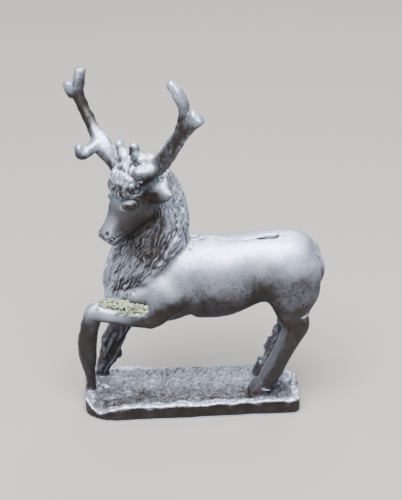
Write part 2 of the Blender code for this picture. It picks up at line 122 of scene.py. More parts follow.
def ball(centre, radii):
    """An ellipsoid at centre with half sizes radii, in shares."""
    x, y, z = centre
    rx, ry, rz = radii
    ends = [(x, y, z - 0.01, rx, ry), (x, y, z + 0.01, rx, ry)]
    return limb(ends, side=(1, 0, 0), rings=3, around=32, blunt=(rz / min(rx, ry),) * 2)


# The head is turned 33 degrees to its left and carried nose down.
HEAD_TURN = math.radians(33)
HEAD_DROP = math.radians(43)
SKULL = np.array((-36.5, -4.0, 128.5))
MUZZLE = np.array(
    (
        -math.cos(HEAD_TURN) * math.cos(HEAD_DROP),
        -math.sin(HEAD_TURN) * math.cos(HEAD_DROP),
        -math.sin(HEAD_DROP),
    )
)
HEAD_LEFT = np.array((math.sin(HEAD_TURN), -math.cos(HEAD_TURN), 0.0))
BROW = np.cross(MUZZLE, HEAD_LEFT)


def on_head(ahead, left, up):
    """A point given in the head's own frame, in shares from the middle of the skull."""
    return SKULL + ahead * MUZZLE + left * HEAD_LEFT + up * BROW


def head_station(ahead, up, wide, deep):
    """One row of the skull's path: a point on its middle plane and its two half sizes."""
    return (*on_head(ahead, 0, up), wide, deep)


def torso():
    """The barrel as one form, with both shoulders and the breast as balls in it."""
    barrel = [
        (-31, 3.4, 61, 10, 12),
        (-21, 3.2, 63, 16, 19),
        (-10, 2.4, 71, 18.2, 24.0),
        (4, 1.6, 73.5, 19.0, 26.0),
        (17, 0.4, 74.4, 19.0, 25.4),
        (30, -0.4, 78.2, 17.6, 22.6),
        (40, -0.8, 80.0, 17.6, 21.6),
        (52, -1.4, 79.4, 18.4, 23.2),
        (61, -1.6, 78.4, 16.8, 21.6),
        (67.6, -1.6, 77.0, 12.5, 15.6),
    ]
    return [
        limb(barrel, rings=80, around=72, square=2.2, blunt=(0.8, 0.45)),
        ball((-19, -9.5, 67), (13, 8.6, 15)),
        ball((-18, 13.5, 67), (13, 8.6, 15)),
        ball((-33, -3.5, 67), (12, 10, 12)),
    ]


NECK = [
    (-21.5, 1.4, 137, 8.6, 9.6),
    (-20, 2.2, 125, 10.2, 13.6),
    (-19.5, 2.2, 110, 13.2, 17.4),
    (-24.5, 2.2, 96.5, 16.0, 19.8),
    (-34.0, 2.8, 83, 17.0, 18.4),
    (-42.0, 2.6, 72, 12.8, 14.0),
    (-45.5, 0.6, 63, 9.5, 9.0),
]


def side_of_face(side):
    """Eyeball, cheek and nostril wing; side is 1 on the left and -1 on the right."""
    return [
        ball(on_head(4.9, 7.3 * side, 5.8), (3.6, 2.6, 2.6)),
        ball(on_head(3, 6.8 * side, -6.5), (7.0, 3.8, 6.4)),
        ball(on_head(25.6, 3.3 * side, 1.2), (2.2, 1.7, 2.0)),
    ]


def head():
    """The skull from poll to muzzle, the tuft on it, and both sides of the face."""
    skull = [
        head_station(-13, -2, 9.0, 10.0),
        head_station(-6, -0.5, 10.8, 12.5),
        head_station(1, -2.0, 11.0, 14.0),
        head_station(8, -3.0, 9.8, 12.6),
        head_station(15, -3.4, 7.8, 9.6),
        head_station(21.5, -2.9, 6.3, 7.4),
        head_station(26.2, -2.2, 5.9, 6.4),
    ]
    tuft = [
        (*on_head(-14, 0, 9.5), 8.5, 6.0),
        (*on_head(-7, 0, 12.8), 10.8, 7.2),
        (*on_head(0.8, 0, 12.6), 9.6, 4.4),
    ]
    forms = [limb(skull, side=HEAD_LEFT, rings=60, square=2.5, blunt=(0.9, 0.45)), limb(tuft, side=HEAD_LEFT)]
    return forms + side_of_face(1) + side_of_face(-1)


def near_foreleg():
    """The raised leg: upper arm, level forearm, and the cannon that hangs down to the slab."""
    x, y = NEAR_FORE_HOOF
    upper = [(-16, -10.5, 68, 8, 10), (-23, -12, 58, 7, 8.4), (-28, -12, 53.8, 6, 7)]
    forearm = [
        (-26, -12, 54.5, 5.8, 6.6),
        (-36, -10.8, 54.0, 5.0, 5.6),
        (-48, -8.2, 55.0, 4.6, 5.4),
        (-59, -5.6, 56.4, 5.0, 5.6),
    ]
    cannon = [
        (-60.5, -5.2, 55.6, 5.0, 5.6),
        (-63.2, -3.8, 45, 4.8, 5.4),
        (-64.8, -2.4, 34, 4.6, 5.6),
        (-64.6, -1.0, 22, 4.4, 5.0),
        (-64.0, 0.2, 13.5, 3.8, 3.4),
        (x - 0.3, y, 6, 3.4, 2.7),
        (x - 0.3, y, -3, 4.2, 3.4),
    ]
    return [limb(upper), limb(forearm, square=2.4), limb(cannon, square=2.4)]


def far_foreleg():
    """The standing leg in one piece, with its dew claw and a knob left on its front."""
    x, y = FAR_FORE_HOOF
    leg = [
        (-24, 13, 60, 7.5, 12),
        (-34, 14.5, 49, 6.0, 8),
        (-42.2, 15.5, 38, 4.8, 5.8),
        (-48.6, 16.2, 26, 4.6, 6.4),
        (-50.8, 16.8, 16, 4.6, 6.2),
        (-54.4, 17.0, 8, 3.8, 4.2),
        (x - 0.8, y - 0.5, 1.5, 3.9, 4.0),
        (x - 0.8, y - 0.5, -4, 4.2, 4.6),
    ]
    dew_claw = ball((-46.2, 16.6, 14.5), (2.4, 2.6, 3.2))
    front_knob = ball((-53.6, 14.6, 24.5), (2.8, 3.0, 3.8))
    return [limb(leg, square=2.4), dew_claw, front_knob]


def hind_leg(hoof, across, hip, hock):
    """Thigh, hock, cannon and hoof; hock is how far back the hock stands, hip the thigh's side."""
    x, y = hoof
    leg = [
        (hock - 4.6, hip, 84, 7.5, 18),
        (hock - 3.0, across * 0.85, 67, 7.4, 16.8),
        (hock - 2.6, across, 54, 6.4, 10.0),
        (hock - 0.6, across, 46, 6.4, 8.2),
        (hock - 3.4, across, 38, 6.4, 6.4),
        (hock * 0.59 + x * 0.41, across, 26, 6.2, 5.4),
        (hock * 0.30 + x * 0.70, y, 13, 6.2, 5.6),
        (x + 3.4, y, 7.5, 5.6, 5.0),
        (x - 0.4, y, 2, 6.2, 6.6),
        (x - 1.6, y, -4, 6.4, 7.2),
    ]
    return [limb(leg, rings=70, square=2.7)]


def tail():
    """A short flat tail that lies close on the rump."""
    strip = [
        (68.5, -1.6, 91, 3.0, 2.0),
        (72.6, -1.8, 84, 4.4, 2.4),
        (74.2, -2.0, 75, 4.2, 2.2),
        (71.6, -2.0, 66, 2.8, 1.8),
    ]
    return [limb(strip)]


def tine(stations, **shape):
    """A fluted antler rod: x, y, z and radius in shares; a fifth value makes it an ellipse."""
    rows = [s if len(s) == 5 else (*s, s[3]) for s in stations]
    return limb(rows, side=(0.5, 0.85, 0.1), flutes=5, deep=0.07, **shape)


def far_antler():
    """The beam, a hooked brow tine, and the small fork near its end."""
    beam = [
        (-42, 5, 136, 3.4),
        (-46, 7, 146, 3.9),
        (-52, 12.5, 155, 5.4, 5.6),
        (-55.8, 17, 161, 3.8),
        (-60.6, 24, 170, 3.3),
        (-65.0, 29, 180, 3.7, 3.3),
        (-64.6, 31, 187.5, 3.9, 3.1),
        (-63.2, 32, 194.5, 3.5, 3.0),
    ]
    brow = [
        (-54, 13, 157, 4.4, 4.0),
        (-60, 9, 154, 3.5, 3.4),
        (-64.5, 6.2, 153.2, 3.7, 3.4),
        (-66.6, 5.4, 157.2, 2.4),
    ]
    fork = [(-64.6, 28.6, 177.6, 2.0), (-68.6, 30, 180.4, 2.2, 3.0), (-71.6, 31.5, 185.4, 2.4, 3.2)]
    return [tine(beam, blunt=(0.5, 0.25)), tine(brow, blunt=(0.8, 0.6)), tine(fork, blunt=(0.8, 0.8))]


def near_antler():
    """The beam that ends cut off flat, its curved upper tine, and two stubs at its foot."""
    beam = [
        (-33, -6, 138, 3.8),
        (-29, -10, 147, 5.0, 5.6),
        (-22.6, -14.5, 153, 5.2, 5.4),
        (-16.4, -19.5, 163, 4.3, 4.7),
        (-11.6, -24.5, 173.6, 3.7, 4.2),
        (-6, -29.5, 183, 3.5, 4.2),
        (-1.4, -33.4, 189.6, 3.0, 4.6),
    ]
    upper = [
        (-11.4, -25.6, 176, 2.8),
        (-9.4, -27.4, 184, 2.7),
        (-8.6, -28, 193, 2.9),
        (-11.6, -27, 200.6, 3.0, 3.6),
        (-15.8, -25.4, 206.2, 2.3, 2.6),
    ]
    forward = [
        (-25, -15.5, 151, 4.2, 4.4),
        (-31, -18.4, 150.8, 4.0, 4.2),
        (-35.6, -20.4, 150.4, 3.6, 3.6),
    ]
    stub = [
        (-26, -11.4, 155.4, 3.4),
        (-31.4, -8.6, 154.8, 3.2),
        (-34.4, -7.4, 157.4, 3.1),
        (-35.6, -6.6, 162.0, 2.7),
    ]
    return [
        tine(beam, blunt=(0.5, 0.2)),
        tine(upper, blunt=(0.5, 0.8)),
        tine(forward, blunt=(0.5, 0.25)),
        tine(stub, blunt=(0.6, 0.8)),
    ]


def ear(root, tip, crest, broad=1.0, sag=0.0, end=0.8):
    """A folded leaf from root to tip: a lozenge section whose sharp crest looks along crest.

    broad widens the leaf, sag is how far its middle hangs, and end is the least half size, at its tip.
    """
    root, tip, crest = (np.asarray(v, float) for v in (root, tip, crest))
    along = unit(tip - root)
    wide = np.cross(along, unit(crest - (crest @ along) * along))
    leaf = [
        (0.0, 4.6, 3.4),
        (0.22, 6.8, 4.6),
        (0.45, 6.8, 4.4),
        (0.68, 4.8, 3.4),
        (0.88, 2.4, 1.8),
        (1.0, 0.8, 0.8),
    ]
    drop = np.array((0, 0, sag))
    rows = [
        (*(root + t * (tip - root) - 4 * t * (1 - t) * drop), max(half * broad, end), max(deep, end))
        for t, half, deep in leaf
    ]
    return limb(rows, side=wide, square=1.25, blunt=(0.6, 1.0))


def ears():
    """The near ear, drooping and dished, and the far one, of which a blunt stub stands up."""
    return [
        ear((-25.4, -9.0, 139.3), (-14.8, -18.8, 136.2), (-0.30, -0.90, 0.33), broad=1.22, sag=2.0),
        ear(on_head(-10, -8.0, 7.5), (-43.0, 10, 156.0), (-0.45, -0.9, 0.1), end=3.0),
    ]


# The slab of ground: its edges stand a hand-cut margin outside the hooves, and the far edge tapers rearward.
BASE_FRONT = NEAR_FORE_HOOF[0] - 3.6
BASE_REAR = NEAR_HIND_HOOF[0] + 23.2
BASE_NEAR = NEAR_HIND_HOOF[1] - 12.0
BASE_FAR = FAR_FORE_HOOF[1] + 7.2
CORNER = 12.0
LEADING_CORNER = 16.8
CORNER_SLUMP = 4.8
TAPER = 4.8
RIM = 2.0


def base_outline(count):
    """Rounded oblong in shares: quarter circles of radius CORNER joined by straights, with a slight waver."""
    corners = (
        (BASE_FRONT + LEADING_CORNER, BASE_NEAR + LEADING_CORNER, 180, LEADING_CORNER),
        (BASE_REAR - CORNER / 2, BASE_NEAR + CORNER / 2, 270, CORNER / 2),
        (BASE_REAR - CORNER, BASE_FAR - TAPER - CORNER, 0, CORNER),
        (BASE_FRONT + CORNER, BASE_FAR - CORNER, 90, CORNER),
    )
    points = []
    for x, y, start, radius in corners:
        turn = np.radians(start + np.linspace(0, 90, 16))
        points.append(np.stack([x + radius * np.cos(turn), y + radius * np.sin(turn)], -1))
    loop = np.vstack(points + [points[0][:1]])
    run = np.r_[0, np.cumsum(np.linalg.norm(np.diff(loop, axis=0), axis=1))]
    at = np.arange(count) / count * run[-1]
    outline = np.stack([np.interp(at, run, loop[:, k]) for k in (0, 1)], -1)
    middle = outline.mean(0)
    phase = at / run[-1] * 2 * math.pi
    waver = 1 + 0.010 * np.sin(5 * phase + 1.0) + 0.008 * np.sin(11 * phase)
    return middle + (outline - middle) * waver[:, None]


def base():
    """The slab as rings: up the side, round the rim in a quarter circle of radius RIM, in over the top."""
    outline = base_outline(300)
    middle = outline.mean(0)
    inward = unit(middle - outline)
    floor = -BASE_THICKNESS / SHARE
    turn = np.radians([0, 22, 45, 67, 90])
    rings = [(outline, floor), (outline, floor / 2)]
    rings += [(outline + inward * RIM * (1 - math.cos(t)), RIM * (math.sin(t) - 1)) for t in turn]
    grid = np.stack([np.column_stack([o, np.full(len(o), z)]) for o, z in rings])
    return closed_grid(grid, np.array((*middle, floor)), np.array((*middle, 0)))


def joined(name, shapes):
    """One mesh object in metres holding every form, still overlapping."""
    points, faces, start = [], [], 0
    for shape_points, shape_faces in shapes:
        points.append(shape_points)
        faces += [tuple(i + start for i in f) for f in shape_faces]
        start += len(shape_points)
    mesh = bpy.data.meshes.new(name)
    mesh.from_pydata((np.vstack(points) * SHARE + (0, 0, BASE_THICKNESS)).tolist(), [], faces)
    bm = bmesh.new()
    bm.from_mesh(mesh)
    bmesh.ops.recalc_face_normals(bm, faces=bm.faces)
    bm.to_mesh(mesh)
    bm.free()
    piece = bpy.data.objects.new(name, mesh)
    bpy.context.scene.collection.objects.link(piece)
    return piece


def settled(piece):
    """Replaces the piece's mesh by what its modifiers make of it."""
    bpy.context.view_layer.update()
    graph = bpy.context.evaluated_depsgraph_get()
    mesh = bpy.data.meshes.new_from_object(piece.evaluated_get(graph))
    piece.modifiers.clear()
    piece.data = mesh
    return piece


def fused(piece, voxel, soften):
    """One closed skin round all the overlapping forms, softened so that they run into each other as cast."""
    remesh = piece.modifiers.new("fuse", "REMESH")
    remesh.mode = "VOXEL"
    remesh.voxel_size = voxel
    smooth = piece.modifiers.new("soften", "SMOOTH")
    smooth.factor = 0.5
    smooth.iterations = soften
    return settled(piece)


def thinned(piece, most, fine=None):
    """Fewer, larger faces, down to most triangles; those where fine is 1 are the last to go."""
    piece.data.calc_loop_triangles()
    decimate = piece.modifiers.new("thin", "DECIMATE")
    decimate.ratio = min(1.0, most / len(piece.data.loop_triangles))
    decimate.use_collapse_triangulate = True
    if fine is not None:
        group = piece.vertex_groups.new(name="coarse")
        steps = np.round((1 - fine) * 10).astype(int)
        for step in range(11):
            group.add(np.flatnonzero(steps == step).tolist(), step / 10, "REPLACE")
        decimate.vertex_group = group.name
        decimate.vertex_group_factor = FINE_WEIGHT
    return settled(piece)


def skin(mesh):
    """The mesh's points in shares above the ground, its normals, and its edges."""
    points = np.empty(len(mesh.vertices) * 3, np.float32)
    normals = np.empty(len(mesh.vertices) * 3, np.float32)
    edges = np.empty(len(mesh.edges) * 2, np.int32)
    mesh.vertices.foreach_get("co", points)
    mesh.vertex_normals.foreach_get("vector", normals)
    mesh.edges.foreach_get("vertices", edges)
    shares = (points.reshape(-1, 3).astype(float) - (0, 0, BASE_THICKNESS)) / SHARE
    return shares, normals.reshape(-1, 3).astype(float), edges.reshape(-1, 2)


def spread(values, edges, rounds):
    """Each value replaced by the mean of its neighbours' values and its own, rounds times over."""
    a, b = edges.T
    count = len(values)
    degree = np.bincount(a, minlength=count) + np.bincount(b, minlength=count) + 1
    values = np.asarray(values, float).reshape(count, -1)
    for _ in range(rounds):
        total = values.copy()
        for k in range(values.shape[1]):
            total[:, k] += np.bincount(a, values[b, k], count) + np.bincount(b, values[a, k], count)
        values = total / degree[:, None]
    return values if values.shape[1] > 1 else values[:, 0]


def ease(value, start, end):
    """0 up to start and 1 from end, with a smooth step between."""
    t = np.clip((value - start) / (end - start), 0, 1)
    return t * t * (3 - 2 * t)


def noise(points, size, seed):
    """Value noise from -1 to 1: random heights on a cubic lattice of that size, eased between its points."""
    table = np.random.default_rng(seed).random((32, 32, 32)) * 2 - 1
    place = points / size
    cell = np.floor(place).astype(int)
    f = place - cell
    f = f * f * (3 - 2 * f)
    total = np.zeros(len(points))
    for corner in np.ndindex(2, 2, 2):
        i, j, k = ((cell + corner) % 32).T
        total += table[i, j, k] * np.prod(np.where(corner, f, 1 - f), axis=1)
    return total


def bell(distance, reach):
    """1 where the distance is 0, falling away as exp(-(distance / reach)^2)."""
    return np.exp(-((distance / reach) ** 2))


def in_head(points):
    """How far each point lies ahead, left and up of the middle of the skull."""
    place = points - SKULL
    return place @ MUZZLE, place @ HEAD_LEFT, place @ BROW


def head_cover(points):
    """1 on the head's own skin, from how far out a point lies of the skull's section there."""
    ahead, left, up = in_head(points)
    at = [-13, -6, 1, 8, 15, 21.5, 28]
    middle = np.interp(ahead, at, [-2, -0.5, -2.0, -3.0, -3.4, -2.9, -2.2])
    wide = np.interp(ahead, at, [9.0, 10.8, 11.0, 9.8, 7.8, 6.3, 5.9])
    deep = np.interp(ahead, at, [10.0, 12.5, 14.0, 12.6, 9.6, 7.4, 6.4])
    out = (np.abs(left / wide) ** 2.5 + np.abs((up - middle) / deep) ** 2.5) ** 0.4
    return ease(-out, -1.26, -1.12) * ease(ahead, -9, -6) * ease(-ahead, -34, -30)


def neck_place(points):
    """For each point: distance down the neck, angle round it, and how far out, 1 being the neck's surface."""
    path = smooth_rows(NECK, 80)
    centre, half = path[:, :3], path[:, 3:5]
    along = unit(np.gradient(centre, axis=0))
    across = unit(np.array((0, 1.0, 0)) - along[:, 1:2] * along)
    front = np.cross(along, across)
    chunks = np.array_split(points, 60)
    near = np.concatenate([np.argmin(((c[:, None] - centre) ** 2).sum(-1), 1) for c in chunks])
    offset = points - centre[near]
    y, x = (offset * across[near]).sum(-1), (offset * front[near]).sum(-1)
    run = np.r_[0, np.cumsum(np.linalg.norm(np.diff(centre, axis=0), axis=1))]
    down = run[near] + (offset * along[near]).sum(-1)
    return down, np.arctan2(x, y), np.hypot(y / half[near, 0], x / half[near, 1])


def mane_cover(points):
    """1 on the neck's surface behind the jaw, above an edge that runs from the withers down to the chest."""
    down, _, out = neck_place(points)
    x, _, z = points.T
    edge_at = [-46, -41, -38.4, -32.5, -23.7, -19, -8, 0.4]
    edge = np.interp(x, edge_at, [63, 64, 66.5, 77, 86, 91, 94, 99.6])
    edge = edge + 3.0 * noise(points, 4.0, 21)
    behind_jaw = 1 - head_cover(points)
    return ease(-out, -1.55, -1.30) * ease(z - edge, -2.5, 3) * behind_jaw * ease(down, -14, -9)


def valleys(place, size, seed, narrow):
    """0 along the lines where the noise changes sign, rising steeply to 1 on either side."""
    return np.minimum(np.abs(noise(place, size, seed)) / narrow, 1) ** 0.7


def mane_strands(points):
    """Hair as valleys of noise drawn out down the neck: long waves on the breast, short tufts up the nape.

    Gives the relief, and a tint from -1 to 1 that changes from strand to strand.
    """
    x, y, z = points.T
    middle = np.interp(z, [60, 72, 84, 97, 110, 125, 137], [-45, -41, -35, -27.5, -22, -20, -20.5])
    lean = 2.2 * noise(points, 8.0, 2) + 1.2 * noise(points, 3.4, 3)
    turn = np.arctan2(2.2 - y, middle - x) + lean / 15
    round_axis = ease(np.hypot(2.2 - y, middle - x), 5, 10)

    def drawn(stretch):
        return np.stack([15 * np.cos(turn), 15 * np.sin(turn), z / stretch], -1)

    long_hair = 0.75 * valleys(drawn(7.0), 1.9, 1, 0.50) + 0.9 * valleys(drawn(5.2), 1.1, 4, 0.55)
    short_hair = 0.75 * valleys(drawn(6.0), 1.5, 25, 0.5) + 0.75 * valleys(drawn(4.5), 0.95, 26, 0.55)
    poll = 0.9 * valleys(points, 1.9, 42, 0.5) + 0.7 * valleys(points, 1.1, 43, 0.55)
    short_hair = short_hair * round_axis + poll * (1 - round_axis)
    nape = ease(x - middle, 0, 10)
    locks = noise(drawn(4.0), 5.5, 27)
    tint = noise(drawn(4.0), 1.9, 40) * (1 - nape) + noise(drawn(1.3), 1.4, 41) * nape
    return long_hair * (1 - nape) + short_hair * nape + 0.9 * locks + 0.25 * tint - 1.4, tint


def fringe_cover(points):
    """1 on the upright front of the tuft, where its hair hangs over the brow."""
    ahead, left, up = in_head(points)
    height = points[:, 2]
    upright = ease(height - 2.6 * ease(left, 3, 8), 130.5, 133) * ease(-height, -142.5, -140.5)
    return upright * ease(ahead, -8, -5) * ease(up, 3, 6) * ease(-np.abs(left), -13, -11)


def tuft_curls(points):
    """Fine waves over the tuft, clefts that part it from the crown, and strands hanging from its front."""
    ahead, left, up = in_head(points)
    shown = ease(up, 9.5, 11.5) * ease(-ahead, -7, -3.5) * ease(ahead, -22, -17)
    shown *= ease(-np.abs(left), -13, -10)
    place = np.stack([ahead / 4.0, left + 0.35 * ahead * np.sign(left), up / 3.5], -1)
    place += 0.8 * noise(points, 3.0, 5)[:, None]
    waves = 0.8 * valleys(place, 2.2, 6, 0.5) + 0.6 * valleys(place, 1.3, 7, 0.5)
    waves += 0.6 * noise(points, 4.0, 28)
    behind = bell(ahead + 8.5, 1.2) * ease(up, 13, 15) * ease(-np.abs(left), -12, -8)
    between = bell(left - 0.6 * (ahead + 16.5), 1.2) * ease(-ahead, 8, 10) * ease(up, 11, 13)
    fringe = fringe_cover(points)
    hanging = np.stack([0 * ahead, left + 1.1 * noise(points, 2.8, 29), points[:, 2] / 3.6], -1)
    hanks = 1.2 * valleys(hanging, 1.7, 33, 0.6) - 0.8
    return ((waves - 0.5) * shown - 1.6 * behind - 1.5 * between * shown) * (1 - fringe) + hanks * fringe


def eye_place(points):
    """How far out of the eye's slanted ellipse, 1 on its rim; how high; and 1 on the sides of the head."""
    ahead, left, up = in_head(points)
    slant = math.radians(41)
    along_lid = (ahead - 4.9) * math.cos(slant) + (up - 5.8) * math.sin(slant)
    over_lid = (up - 5.8) * math.cos(slant) - (ahead - 4.9) * math.sin(slant)
    side = np.abs(left)
    return np.hypot(along_lid / 3.3, over_lid / 2.4), over_lid, ease(side, 4, 6) * ease(-side, -14, -12)


def above_mouth(ahead, up):
    """How far above the line of the mouth, which rises towards the lips."""
    mouth_at = -0.5 - 0.42 * (28.5 - ahead)
    return up - mouth_at


def face_features(points):
    """Lids, sockets, nostrils and mouth as bumps and grooves in the head's frame."""
    ahead, left, up = in_head(points)
    side = np.abs(left)
    on_face = ease(-np.hypot(np.hypot(ahead, left), up), -40, -34)
    eye, over_lid, beside = eye_place(points)
    above = 0.5 + 0.5 * np.tanh(over_lid)
    rim = bell(eye - 1.0, 0.15) * (0.12 + 0.26 * above)
    socket = -0.9 * bell(eye - 1.40, 0.22) * (0.35 + 0.65 * above)
    lids = (rim + socket + 0.45 * np.clip(1 - eye**2, 0, 1)) * beside
    over_mouth = above_mouth(ahead, up)
    mouth = -1.8 * bell(over_mouth, 0.65) + 0.45 * bell(over_mouth - 1.5, 0.7)
    beads = 0.8 * np.cos(ahead * 3.4) * bell(over_mouth - 1.5, 0.8) * ease(ahead, 21, 23)
    nostril = -1.8 * np.exp(-((ahead - 25.4) ** 2 + (side - 3.0) ** 2 + (up - 3.2) ** 2) / 1.1)
    return lids * on_face + (mouth + beads) * on_face * ease(ahead, 20, 24) + nostril


def beyond_seam(points):
    """How far over the back, away from the near side, a point lies of the mould seam, which wavers."""
    x, y, _ = points.T
    seam_at = np.interp(x, [0, 24, 44, 58], [1.5, -5.5, -5.5, -4.5]) + 0.4 * noise(points, 3.5, 8)
    return y - seam_at


def back_seam(points, normals):
    """The mould seam along the back: a step down towards the near side, with a slit over the loin."""
    x, _, z = points.T
    on_back = ease(normals[:, 2], 0.5, 0.8) * ease(z, 88, 92) * ease(x, 0, 4) * ease(-x, -64, -58)
    beyond = beyond_seam(points)
    step = 0.35 * ease(beyond, -0.5, 0.5) * ease(-beyond, -7, -1)
    width = 0.8 + 0.25 * ease(x, 38, 45)
    slit = -5.0 * bell(beyond, width) * ease(x, 34, 43) * ease(-x, -48.5, -46.5)
    crack = -0.6 * bell(beyond, 0.5) * (0.5 + 0.5 * noise(points, 5.0, 9))
    return (step + slit + crack) * on_back


def muscles(points):
    """Low hollows at the shoulder, before the thigh and beside the tail, and slow swells over the trunk."""
    x, y, z = points.T
    flank = -0.8 * np.exp(-(((x - 33) / 7) ** 2) - ((z - 72) / 10) ** 2)
    shoulder = -0.6 * np.exp(-(((x - 1 + 0.25 * (z - 70)) / 4) ** 2) - ((z - 68) / 12) ** 2)
    grooves = bell(y + 8.2, 1.2) + 0.5 * bell(y - 3.6, 1.0)
    beside_tail = -1.3 * grooves * ease(x, 65, 68) * ease(z, 62, 68)
    body = ease(z, 48, 54) * ease(-z, -98, -94)
    return (flank + shoulder + beside_tail) * body + 0.4 * noise(points, 9.0, 10) * body


def leg_flash(points, normals):
    """Thin cast flash down the front of each leg, across the near hock and round the near hind coronet."""
    x, y, z = points.T
    lines = (
        (np.interp(z, [0, 12, 34, 56], [1.0, 0.2, -2.4, -5.2]), x < -57),
        (np.interp(z, [0, 14, 38, 56], [17.5, 17, 15.5, 14]), (x > -60) & (x < -20) & (y > 6)),
        (-12.4, (x > 20) & (y < -2)),
        (9.2, (x > 20) & (y > 0)),
    )
    total = np.zeros(len(points))
    for middle, where in lines:
        total += np.where(where, bell(y - middle, 0.5), 0)
    front = ease(-normals[:, 0], 0.35, 0.7) * ease(z, 3, 6) * ease(-z, -54, -48)
    return 0.7 * total * front * (0.55 + 0.45 * noise(points, 3.0, 11)) + 0.5 * bright_lines(points)


def bright_lines(points):
    """1 along the flash over the near hock and the line where the near hind hoof begins."""
    x, y, z = points.T
    hock = bell(z - 52.5 - 0.25 * (x - 57), 0.45) * ease(x, 60, 61.2) * ease(-y, 12, 14)
    coronet = bell(z - 5.4 - 0.30 * (38 - x), 0.3) * ease(x, 38.5, 39.5) * ease(-x, -44.5, -43) * (y < -8)
    return hock + coronet


def sinews(points):
    """Lengthwise ridges on the far legs, less cleaned up than the rest, and crumbs on the hind one's front."""
    x, y, z = points.T
    far = ease(y, 4, 6) * ease(z, 2, 5) * ease(-z, -52, -44)
    drawn = np.stack([x - 0.46 * z, y, z / 7], -1)
    crumbs = 2.4 * ease(noise(points, 2.4, 46), -0.5, 0.6) * ease(x, 30, 36)
    crumbs = crumbs * ease(z, 5, 9) * ease(-x, -56, -48)
    ahead_of_bone = ease(0.46 * z + 40 - x, -1, 2)
    ridges = 0.9 * (1 - valleys(drawn, 2.4, 37, 0.35)) + 0.3 * noise(points, 2.2, 38) - 0.35
    return far * (ridges + crumbs * ahead_of_bone)


FAR_EAR = np.array((-43.0, 7.0, 153.0))


def on_far_ear(points):
    """1 within about seven shares of the far ear, with a steep edge."""
    return np.exp(-(((points - FAR_EAR) / 7.5) ** 4).sum(-1))


def antler_bark(points):
    """Soft lumps on the antlers, and the ragged seam that runs up the rear side of the near beam."""
    x, y, z = points.T
    clear_of_ear = 1 - on_far_ear(points)
    lumps = 0.5 * noise(points, 4.6, 30) + 0.22 * noise(points * (1, 1, 0.3), 1.3, 31)
    lumps += 0.16 * noise(points, 1.1, 48)
    up_beam = ease(z, 152, 158) * ease(-z, -192, -186) * ease(x, -24, -18)
    behind = x - np.interp(z, [153, 163, 174, 183, 190], [-22.6, -16.4, -11.6, -6, -1.4]) - 2.6
    ragged = 0.3 + 0.9 * np.maximum(noise(points, 2.2, 34), 0)
    seam = bell(behind, 0.7) * up_beam * ease(-y, 8, 12) * ragged
    return ease(z, 146, 150) * clear_of_ear * (lumps + seam)


def near_spots(points, spots):
    """1 at the middle of each spot, given as a place and a reach in shares, and falling away round it."""
    return np.max([np.exp(-(((points - place) / reach) ** 2).sum(-1)) for place, reach in spots], axis=0)


EAR_HOLLOW = np.array((-23.4, -15.0, 134.0))


def ear_hollow(points):
    """1 in the middle of the near ear's underside, which is dished."""
    return near_spots(points, ((EAR_HOLLOW, (4.6, 5.0, 4.4)),)) * ease(-points[:, 1], 9, 11)


def under_ear(points):
    """1 on the side of the near ear that looks down, below the crest from its root to its tip."""
    x, y, z = points.T
    crest = np.interp(x, [-27, -20.4, -14.9], [149.0, 142.4, 136.8])
    below = ease(crest - z, -0.3, 0.7) * ease(-y, 9, 11) * ease(x, -31, -28.5)
    return below * ease(-x, 13, 14.5) * ease(z, 121, 125)


def to_edge(points):
    """How far in a point lies from the nearest of the slab's four edges."""
    x, y, _ = points.T
    return np.minimum.reduce([x - BASE_FRONT, BASE_REAR - x, y - BASE_NEAR, BASE_FAR - y])


def ground(points, normals):
    """Stippled lumps on top, a ragged raised rim with two spikes at the rear, and a rough cut side."""
    x, y, z = points.T
    slab = ease(-z, -3.2, -1.6)
    flat = ease(normals[:, 2], 0.3, 0.7)
    stipple = 0.34 * noise(points, 1.7, 12) + 0.26 * noise(points, 0.95, 13) + 0.6 * noise(points, 7.0, 14)
    stipple += 0.5 * noise(points * (0.5, 1, 1), 2.6, 44)
    rim = bell(to_edge(points), 2.2) * (0.8 + 0.9 * noise(points, 3.0, 15))
    for place, rise in (((55.0, 5.0), 5.0), ((59.2, -3.6), 7.0), ((57.0, -1.0), -1.8)):
        rim += rise * np.exp(-((x - place[0]) ** 2 + (y - place[1]) ** 2) / 2.0)
    rubble = np.exp(-((x + 60) ** 2 + (y - 4) ** 2) / 45) * (0.8 + 2.0 * noise(points, 2.6, 35))
    side = 0.10 * noise(points * (0.3, 0.3, 1), 1.1, 16) + 0.5 * noise(points, 6.0, 17)
    flash = 0.5 * bell(z + 8.7, 0.5) * (0.5 + 0.5 * noise(points, 5.0, 36))
    return slab * (flat * (stipple + rim + rubble) + (1 - flat) * (side * ease(z, -9, -7) + flash))


def slump(points):
    """How far each point sinks at the near front corner: all of it on the top, none at the underside."""
    x, y, z = points.T
    away = np.hypot(x - BASE_FRONT - 8, y - BASE_NEAR - 1.5)
    return CORNER_SLUMP * bell(away, 6.5) * np.clip(1 + z * SHARE / BASE_THICKNESS, 0, 1)


def pits(points):
    """The fine orange-peel of metal that chilled against the mould, with a few deeper pits."""
    fine = noise(points, 0.95, 18)
    deep = ease(noise(points, 1.5, 19), 0.55, 0.9)
    return 0.07 * fine - 0.10 * deep


forms = torso() + [limb(NECK, rings=80, around=72)] + head() + ears() + tail()
forms += near_foreleg() + far_foreleg()
forms += hind_leg(NEAR_HIND_HOOF, -12.6, -9.5, 59.0) + hind_leg(FAR_HIND_HOOF, 9.6, 8.0, 61.5)
forms += far_antler() + near_antler() + [base()]
casting = fused(joined("carved_casting", forms), FINE_VOXEL, 8)

